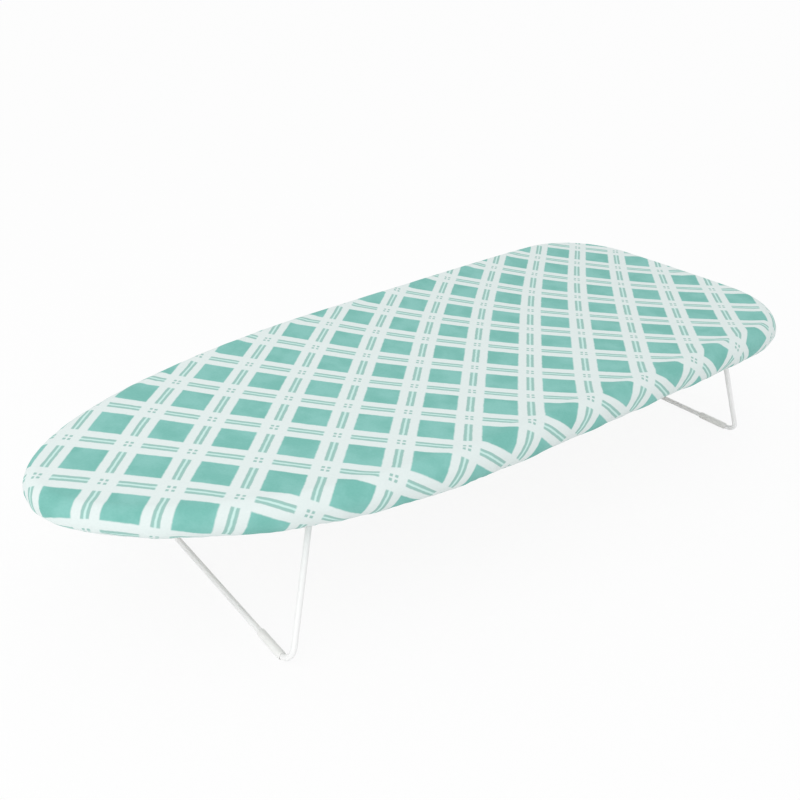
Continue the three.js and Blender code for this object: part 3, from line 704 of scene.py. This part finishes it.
# The gathers grow along the cloth to the hem, most on the bends, and the side ripples a little.
GATHER_FROM, GATHER_GROW, GATHER_SIDE, GATHER_BEND = 24, 24, 0.25, 1.55
GATHER_HIGH, HEM_BULGE = 0.8, 0.9
RIPPLE_AT, RIPPLE_WIDE, RIPPLE_HIGH, SLACK_HIGH = 26, 14, 0.32, 0.4
# For settling, the cloth is cut this much full, more on the bends, and held near the hem.
FULL_SIDE, FULL_BEND, FULL_TO, FULL_FADE = 0.5, 3.5, 46, 12
HELD_FROM, HELD_GROW = 36, 8
SETTLE_FRAMES, SETTLE_MOST, SETTLE_IN = 10, 1.4, 0.45
COTTON_FEEL = {
    "quality": 5, "mass": 0.002, "tension_stiffness": 20, "compression_stiffness": 20,
    "shear_stiffness": 8, "bending_stiffness": 0.05, "pin_stiffness": 1,
    "use_pressure": True, "uniform_pressure_force": 2.5,
}
PITCH, SQUEEZE = 48.607, 0.9384
PRINT_AT, PRINT_TURN, PRINT_SKEW = (-382.78, 62.2), math.radians(-49.64), math.radians(2.898)
# The cloth is cut on the cross and pulls unevenly, so the print creeps by part of a square over the
# board: how much, by powers of the place along it and across it.
CREEP_U = {
    (0, 0): -0.0087, (0, 1): -0.0097, (0, 2): 0.0396, (0, 3): 0.133, (0, 4): 0.0451,
    (0, 5): -0.0938, (1, 0): -0.0298, (1, 1): 0.1697, (1, 2): 0.1629, (1, 3): -0.036,
    (1, 4): -0.1195, (2, 0): 0.0138, (2, 1): -0.1013, (2, 2): 0.1103, (2, 3): 0.0099,
    (3, 0): 0.2224, (3, 1): -0.0605, (3, 2): -0.0893, (4, 0): -0.06, (4, 1): 0.0859,
    (5, 0): -0.1673,
}
CREEP_V = {
    (0, 0): -0.0536, (0, 1): 0.1246, (0, 2): 0.515, (0, 3): 0.2456, (0, 4): -0.1307,
    (0, 5): -0.2146, (1, 0): -0.0305, (1, 1): 0.0833, (1, 2): 0.333, (1, 3): -0.0448,
    (1, 4): 0.0817, (2, 0): 0.1806, (2, 1): 0.0694, (2, 2): -0.2641, (2, 3): -0.0635,
    (3, 0): -0.0821, (3, 1): 0.007, (3, 2): -0.1902, (4, 0): -0.012, (4, 1): -0.1561,
    (5, 0): 0.2657,
}
# Round the nose it is pulled a little further, growing from here to the tip, and so it is over the
# edge, growing down the side, most of all at the near corner of the square end.
NOSE_PULL_FROM, NOSE_PULL_U, NOSE_PULL_V = -270, 0.122, -0.084
EDGE_PULL_U, EDGE_PULL_V, EDGE_PULL_RUN = -0.0082, 0.0298, 30
CORNER_PULL_FROM, CORNER_PULL_TO, CORNER_PULL_U, CORNER_PULL_V = 180, 345, -0.127, -0.29
CORNER_PULL_GROW, CORNER_PULL_FADE = 80, 50


def creep(places, amounts):
    """How far the print has crept at places on the board, in squares."""
    along, across = places[:, 0] / HALF_LENGTH, places[:, 1] / HALF_WIDTH
    return sum(amount * along**i * across**j for (i, j), amount in amounts.items())


cover_edge = whole_edge(nose=140, flank=60, corner=60, end=14)
count = len(cover_edge)
points = np.array([p[:2] for p, _ in cover_edge]) / MM
inward = np.array([n[:2] for _, n in cover_edge])
steps = np.linalg.norm(np.roll(points, -1, axis=0) - points, axis=1)
round_at = np.concatenate([[0], np.cumsum(steps)[:-1]])
ahead = np.roll(inward, -1, axis=0)
turning = np.arctan2(
    inward[:, 0] * ahead[:, 1] - inward[:, 1] * ahead[:, 0], (inward * ahead).sum(axis=1)
) / steps
bend_share = np.clip(np.abs(turning) * 100, 0, 1)
kernel = np.hanning(41)
closed_share = np.concatenate([bend_share[-20:], bend_share, bend_share[:20]])
bend_share = np.convolve(closed_share, kernel / kernel.sum(), "valid")

# The section of the cloth from the flat top, over the edge and under it, to the rolled hem.
cloth_line = arc(TOP_ROUND, ROUND_Z, TOP_ROUND, 90, 180, 12)
cloth_line += arc(UNDER_ROUND, UNDER_Z, UNDER_ROUND, 180, 270, 15, 0, 1)
cloth_line += [(inset, LIP_Z, 1) for inset in (17, 19, 21, 23, 24.8)]
cloth_line += arc(HEM_INSET, HEM_Z, HEM_RADIUS, -90, 195, 16, 1, 1)
drawn_up = np.array(cloth_line)[:, 2]
cloth_line = np.array(cloth_line)[:, :2]
cloth_run = np.concatenate([[0], np.cumsum(np.linalg.norm(np.diff(cloth_line, axis=0), axis=1))])
away = np.gradient(cloth_line, axis=0)
away = np.stack([-away[:, 1], away[:, 0]], axis=1)
away /= np.linalg.norm(away, axis=1)[:, None]

rng = np.random.default_rng(7)
length = round_at[-1] + steps[-1]


def waves(shortest, longest, many):
    """An uneven wave round the edge, closed on itself, from about -1 to 1."""
    made = np.zeros(count)
    for turns in rng.integers(int(length / longest), int(length / shortest), many):
        made += np.sin(2 * math.pi * turns * round_at / length + rng.uniform(0, 2 * math.pi))
    return made / math.sqrt(many)


def foam_dents(places):
    """How far the cloth dips with the soft foam at places on the top, in millimetres."""
    x, y = places.T
    return 0.28 * (np.sin(x / 31 + 0.6) * np.sin(y / 27 + 1.1) + np.sin((x + y) / 43) - 1.2)


gather, ripple, slack = waves(9, 15, 6), waves(22, 45, 5), waves(60, 140, 4)
top_edge = points + inward * TOP_ROUND
top_shares = np.concatenate([[1], np.linspace(0.94, 0.06, 21), [0.03]])
cover_rings, flat_rings, held_rings, edge_pull, hold_rings, full_rings = [], [], [], [], [], []
for number, ring in enumerate(to_spine(cover_edge, TOP_ROUND, top_shares)):
    flat = ring / MM
    cover_rings.append(np.column_stack([flat, COVER_TOP + foam_dents(flat)]) * MM)
    flat_rings.append(flat)
    held_rings.append(flat)
    edge_pull += [0.0] * count
    hold_rings.append(np.full(count, min(0.6, 0.1 * (len(top_shares) - number))))
    full_rings.append(np.zeros(count))
for (inset, z), share, run, (out_in, out_up) in zip(cloth_line, drawn_up, cloth_run, away):
    low = np.clip((run - GATHER_FROM) / GATHER_GROW, 0, 1) ** 1.5
    side = math.exp(-(((run - RIPPLE_AT) / RIPPLE_WIDE) ** 2))
    lift = low * (GATHER_SIDE + GATHER_BEND * bend_share) * gather * GATHER_HIGH
    lift += low * HEM_BULGE * bend_share
    lift += side * (RIPPLE_HIGH * ripple + SLACK_HIGH * slack)
    dent = foam_dents(top_edge) * 0.5 if run == 0 else 0.0
    place = points + inward * (inset + out_in * lift)[:, None]
    rise = share * nose_rise(points[:, 0])
    cover_rings.append(np.column_stack([place, z + rise + out_up * lift + dent]) * MM)
    flat_rings.append(points + inward * (TOP_ROUND - run))
    held_rings.append(top_edge)
    edge_pull += [min(run / EDGE_PULL_RUN, 1.5)] * count
    hold_rings.append(np.full(count, np.clip((run - HELD_FROM) / HELD_GROW, 0, 1)))
    fade = min(0.5 + run / 40, 1) * np.clip((FULL_TO - run) / FULL_FADE, 0, 1)
    full_rings.append(fade * (FULL_SIDE + FULL_BEND * bend_share))
cover = skin("printed_cover", cover_rings)
flat_points = np.concatenate(flat_rings)
print_u = np.array([math.cos(PRINT_TURN), math.sin(PRINT_TURN)]) * PITCH
across_turn = PRINT_TURN + PRINT_SKEW
print_v = np.array([-math.sin(across_turn), math.cos(across_turn)]) * PITCH * SQUEEZE
to_print = np.linalg.inv(np.column_stack([print_u, print_v]))
print_places = (flat_points - np.array(PRINT_AT)) @ to_print.T
held_points = np.concatenate(held_rings)
print_places -= np.column_stack([creep(held_points, CREEP_U), creep(held_points, CREEP_V)])
held_x, held_y = held_points.T
nose_pull = np.clip((NOSE_PULL_FROM - held_x) / (NOSE_PULL_FROM + HALF_LENGTH), 0, 1)
print_places -= np.outer(nose_pull, (NOSE_PULL_U, NOSE_PULL_V))
print_places -= np.outer(edge_pull, (EDGE_PULL_U, EDGE_PULL_V))
corner_pull = np.clip((held_x - CORNER_PULL_FROM) / CORNER_PULL_GROW, 0, 1)
corner_pull *= np.clip((CORNER_PULL_TO - held_x) / CORNER_PULL_FADE, 0, 1) * (held_y < 0)
print_places -= np.outer(corner_pull * edge_pull, (CORNER_PULL_U, CORNER_PULL_V))
print_map = cover.data.uv_layers.new(name="print")
corner_points = np.zeros(len(cover.data.loops), int)
cover.data.loops.foreach_get("vertex_index", corner_points)
print_map.data.foreach_set("uv", print_places[corner_points].ravel())
for label, rings in (("hold", hold_rings), ("fullness", full_rings)):
    carried = cover.data.attributes.new(label, "FLOAT", "POINT")
    carried.data.foreach_set("value", np.concatenate(rings))
close_up(cover, 0.000005)
if cover.data.polygons[0].normal.z < 0:
    cover.data.flip_normals()


def point_values(owner, label, wide):
    """One value or vector of every point, as an array."""
    found = np.zeros(len(owner) * wide)
    owner.foreach_get(label, found)
    return found.reshape(-1, wide)


def settle_cloth(piece):
    """Cloth cut a little full round the bends settles between the foam's push and the held hem."""
    drawn = piece.data
    start, outward = (point_values(drawn.vertices, label, 3) for label in ("co", "normal"))
    held = piece.vertex_groups.new(name="held")
    for number, weight in enumerate(point_values(drawn.attributes["hold"].data, "value", 1)[:, 0]):
        held.add([number], float(weight), "REPLACE")
    fullness = point_values(drawn.attributes["fullness"].data, "value", 1)
    piece.shape_key_add(name="drawn_on")
    cut = piece.shape_key_add(name="cut")
    cut.data.foreach_set("co", (start + outward * fullness * MM).ravel())
    cloth = piece.modifiers.new("cloth", "CLOTH")
    for label, value in COTTON_FEEL.items():
        setattr(cloth.settings, label, value)
    cloth.settings.vertex_group_mass = "held"
    cloth.settings.rest_shape_key = cut
    cloth.settings.effector_weights.gravity = 0
    cloth.collision_settings.use_collision = False
    cloth.point_cache.frame_start, cloth.point_cache.frame_end = 1, SETTLE_FRAMES
    for number in range(1, SETTLE_FRAMES + 1):
        bpy.context.scene.frame_set(number)
    settled = piece.evaluated_get(bpy.context.evaluated_depsgraph_get())
    move = point_values(settled.data.vertices, "co", 3) - start
    piece.modifiers.remove(cloth)
    piece.shape_key_clear()
    piece.vertex_groups.clear()
    bpy.context.scene.frame_set(1)
    sunk = np.minimum((move * outward).sum(axis=1) + SETTLE_IN * MM, 0)
    move -= outward * sunk[:, None]
    far = np.maximum(np.linalg.norm(move, axis=1), 1e-9)
    move *= np.minimum(1, SETTLE_MOST * MM / far)[:, None]
    drawn.vertices.foreach_set("co", (start + move).ravel())
    drawn.update()


settle_cloth(cover)
for label in ("hold", "fullness"):
    cover.data.attributes.remove(cover.data.attributes[label])
finish_with(cover, "SOLIDIFY", thickness=CLOTH * MM, offset=-1)

cotton = bpy.data.materials.new("printed_cotton")
cotton.use_nodes = True
nodes, join = cotton.node_tree.nodes, cotton.node_tree.links.new
shader = fill_in(nodes["Principled BSDF"], {"Roughness": 0.85, "Specular IOR Level": 0.1})
fill_in(shader, {"Sheen Weight": 0.08, "Sheen Roughness": 0.5})
WHITE_COTTON, WHITE_SHADE = (0.785, 0.855, 0.845, 1), (0.71, 0.80, 0.785, 1)
TEAL, TEAL_DEEP = (0.27, 0.585, 0.535, 1), (0.165, 0.465, 0.405, 1)
PALE_TINT, THIN_LINE = (0.555, 0.815, 0.76, 1), (0.27, 0.505, 0.455, 1)


def work_out(operation, a, b=0.0):
    """One sum among the nodes at hand."""
    made = nodes.new("ShaderNodeMath")
    made.operation = operation
    for socket, given in zip(made.inputs, (a, b)):
        if isinstance(given, (int, float)):
            socket.default_value = given
        else:
            join(given, socket)
    return made.outputs[0]


def past(value, edge, soft):
    """0 below the edge and 1 above it, with the soft edge of ink in cotton."""
    made = fill_in(
        nodes.new("ShaderNodeMapRange"), {"From Min": edge - soft, "From Max": edge + soft}
    )
    made.interpolation_type = "SMOOTHSTEP"
    join(value, made.inputs["Value"])
    return made.outputs["Result"]


def inside(value, edge, soft):
    """1 below the edge and 0 above it."""
    return work_out("SUBTRACT", 1, past(value, edge, soft))


def layer(share, under, over):
    """Ink of one colour over another."""
    made = nodes.new("ShaderNodeMix")
    made.data_type = "RGBA"
    join(share, made.inputs["Factor"])
    for label, given in (("A", under), ("B", over)):
        if isinstance(given, tuple):
            made.inputs[label].default_value = given
        else:
            join(given, made.inputs[label])
    return made.outputs["Result"]


BAND_U, BAND_V, INK_SOFT, WANDER = 0.2155, 0.2235, 0.016, 0.02
LINE_OFF, LINE_HALF, LINE_SOFT, TINT_SOFT = 0.042, 0.0245, 0.01, 0.02
TINT_SHARE, LINE_SHARE, WEAVE_STEP = 0.8, 0.85, 0.45
printed = nodes.new("ShaderNodeUVMap")
printed.uv_map = "print"


def print_noise(scale, detail):
    """Noise that lies on the print."""
    made = fill_in(nodes.new("ShaderNodeTexNoise"), {"Scale": scale, "Detail": detail})
    join(printed.outputs["UV"], made.inputs["Vector"])
    return made.outputs


shift = nodes.new("ShaderNodeVectorMath")
shift.operation = "MULTIPLY_ADD"
shift.inputs[1].default_value = (WANDER, WANDER, 0)
join(print_noise(11, 2)["Color"], shift.inputs[0])
join(printed.outputs["UV"], shift.inputs[2])
apart = nodes.new("ShaderNodeSeparateXYZ")
join(shift.outputs[0], apart.inputs[0])
steady = [work_out("SUBTRACT", apart.outputs[axis], WANDER / 2) for axis in "XY"]
offs = [work_out("PINGPONG", place, 0.5) for place in steady]
from_lines = [work_out("ABSOLUTE", work_out("SUBTRACT", off, LINE_OFF)) for off in offs]
in_u, in_v = (past(off, band, INK_SOFT) for off, band in zip(offs, (BAND_U, BAND_V)))
line_u, line_v = (inside(off, LINE_HALF, LINE_SOFT) for off in from_lines)
between_u, between_v = (inside(off, LINE_OFF, TINT_SOFT) for off in offs)


def through_bands(strip_u, strip_v):
    """What runs along the strips either way, where it is between the squares."""
    one_way, other_way = work_out("MULTIPLY", strip_u, in_v), work_out("MULTIPLY", strip_v, in_u)
    return work_out("MAXIMUM", one_way, other_way)


squares = work_out("MULTIPLY", in_u, in_v)
crossings = work_out("MULTIPLY", line_u, line_v)
lines = work_out("MAXIMUM", through_bands(line_u, line_v), crossings)
tint = through_bands(between_u, between_v)
mottle, cloud = print_noise(26, 5)["Fac"], print_noise(1.9, 3)["Fac"]
ground = layer(mottle, WHITE_COTTON, WHITE_SHADE)
uneven = work_out("MULTIPLY", work_out("ADD", past(cloud, 0.5, 0.16), mottle), 0.5)
ink = layer(uneven, TEAL, TEAL_DEEP)
colour = layer(work_out("MULTIPLY", tint, TINT_SHARE), ground, PALE_TINT)
colour = layer(squares, colour, ink)
colour = layer(work_out("MULTIPLY", lines, LINE_SHARE), colour, THIN_LINE)
join(colour, shader.inputs["Base Color"])
# Plain weave: warp and weft 0.45 mm apart, each thread over and under the next.
THREADS = PITCH / WEAVE_STEP
thread_u = work_out("SINE", work_out("MULTIPLY", apart.outputs["X"], THREADS * math.pi))
thread_v = work_out("SINE", work_out("MULTIPLY", apart.outputs["Y"], THREADS * SQUEEZE * math.pi))
weave = work_out("MULTIPLY", thread_u, thread_v)
weave = work_out("ADD", work_out("MULTIPLY", weave, 0.5), mottle)
relief = fill_in(nodes.new("ShaderNodeBump"), {"Strength": 0.35, "Distance": 0.00008})
join(weave, relief.inputs["Height"])
join(relief.outputs["Normal"], shader.inputs["Normal"])

settle(cover, cotton, "board", "cover", 70)


# ---- Hem stitching ----
# One row of white lockstitch closes the hem round the elastic, about 3 mm from the fold and with
# five millimetres to each stitch, so it rises and falls with the gathers.
STITCH_LONG, STITCH_THICK, STITCH_EVERY, STITCH_RING = 3.4, 0.45, 5.0, 30
THREAD, THREAD_SHADE = (0.83, 0.86, 0.85, 1), (0.74, 0.78, 0.77, 1)
row = cover_rings[len(top_shares) + STITCH_RING]
row_steps = np.linalg.norm(np.roll(row, -1, axis=0) - row, axis=1)
row_at = np.concatenate([[0], np.cumsum(row_steps)])
closed_row = np.concatenate([row, row[:1]])
stitch_points, stitch_faces = [], []


def along_row(at):
    """The place so many millimetres along the row."""
    return Vector([np.interp(at * MM, row_at, closed_row[:, k]) for k in range(3)])


for number in range(int(row_at[-1] / MM / STITCH_EVERY)):
    ends = [along_row(number * STITCH_EVERY + STITCH_LONG * part) for part in (0, 0.25, 0.75, 1)]
    run = (ends[3] - ends[0]).normalized()
    side = run.cross(Vector((0, 0, 1))).normalized()
    base = len(stitch_points)
    for place, wide, deep in zip(ends, (0.3, 1, 1, 0.3), (-0.1, 0.3, 0.3, -0.1)):
        for turn in range(6):
            a = turn * math.pi / 3
            off = side * math.cos(a) + Vector((0, 0, 1)) * math.sin(a)
            stitch_points.append(place + off * STITCH_THICK * wide * MM - Vector((0, 0, deep * MM)))
    for ring in range(3):
        for turn in range(6):
            a, b = base + ring * 6 + turn, base + ring * 6 + (turn + 1) % 6
            stitch_faces.append((a, b, b + 6, a + 6))
    stitch_faces.append(tuple(base + 5 - turn for turn in range(6)))
    stitch_faces.append(tuple(base + 18 + turn for turn in range(6)))
drawn = bpy.data.meshes.new("hem_stitches")
drawn.from_pydata(stitch_points, [], stitch_faces)
stitches = new_piece("hem_stitches", drawn)
close_up(stitches, 0.000001)
thread = made_finish(
    "sewing_thread", THREAD, THREAD_SHADE, patches=300, grain=2500, gloss=(0.7, 0.9), relief=0.0001
)
settle(stitches, thread, "board", None, 70)


# ---- Floor, light and camera ----
# A plain white sweep with soft light from all round, one large soft lamp above the nose and a low
# one that fills in the legs. The camera looks down from the near side of the nose.
FLOOR_GLOW, ROUND_LIGHT = 0.9, 0.89
CAMERA_AT, CAMERA_LENS = (-0.45972, -0.50112, 0.4612), 37.316
CAMERA_FORWARD, CAMERA_UP = (0.55291, 0.67239, -0.49212), (0.29907, 0.39112, 0.87039)


def seen_by_eye():
    """Among the nodes at hand: 1 for rays that show the surface, 0 for its light on others."""
    ray = nodes.new("ShaderNodeLightPath").outputs
    mirrored = work_out("MAXIMUM", ray["Is Glossy Ray"], ray["Is Transmission Ray"])
    return work_out("MAXIMUM", ray["Is Camera Ray"], mirrored)


def soft_lamp(name, place, aim, size, watts):
    """A round soft lamp turned towards its aim."""
    bpy.ops.object.light_add(type="AREA", location=place)
    lamp = bpy.context.object
    lamp.name = name
    lamp.data.shape = "DISK"
    lamp.data.size = size
    lamp.data.energy = watts
    lamp.rotation_euler = (Vector(aim) - lamp.location).to_track_quat("-Z", "Y").to_euler()


bpy.ops.mesh.primitive_plane_add(size=60, location=(0, 0, 0))
floor = bpy.context.object
floor.name = "floor"
sweep = bpy.data.materials.new("white_sweep")
sweep.use_nodes = True
nodes, join = sweep.node_tree.nodes, sweep.node_tree.links.new
paper = fill_in(nodes["Principled BSDF"], {"Base Color": (0.9, 0.9, 0.9, 1), "Roughness": 0.9})
fill_in(paper, {"Specular IOR Level": 0.1})
glow = fill_in(nodes.new("ShaderNodeEmission"), {"Strength": 1.0})
mixed = nodes.new("ShaderNodeMixShader")
join(work_out("MULTIPLY", seen_by_eye(), FLOOR_GLOW), mixed.inputs["Fac"])
join(paper.outputs["BSDF"], mixed.inputs[1])
join(glow.outputs["Emission"], mixed.inputs[2])
join(mixed.outputs["Shader"], nodes["Material Output"].inputs["Surface"])
floor.data.materials.append(sweep)

world = bpy.data.worlds.new("studio")
bpy.context.scene.world = world
world.use_nodes = True
nodes, join = world.node_tree.nodes, world.node_tree.links.new
soft = fill_in(nodes["Background"], {"Color": (1, 1, 1, 1)})
level = fill_in(nodes.new("ShaderNodeMapRange"), {"To Min": ROUND_LIGHT, "To Max": 1.0})
join(seen_by_eye(), level.inputs["Value"])
join(level.outputs["Result"], soft.inputs["Strength"])

soft_lamp("soft_box", (-0.75, -0.3, 0.95), aim=(0.05, 0, 0.1), size=1.2, watts=2.4)
soft_lamp("low_fill", (-1.3, -0.6, 0.16), aim=(0, 0, 0.06), size=1.0, watts=1.8)

bpy.ops.object.camera_add(location=CAMERA_AT)
camera = bpy.context.object
forward = Vector(CAMERA_FORWARD).normalized()
right = forward.cross(Vector(CAMERA_UP)).normalized()
upward = right.cross(forward)
camera.rotation_euler = Matrix((right, upward, -forward)).transposed().to_euler()
camera.data.sensor_width = 36
camera.data.lens = CAMERA_LENS
camera.data.clip_start = 0.01
bpy.context.scene.camera = camera
bpy.context.scene.view_settings.view_transform = "Standard"
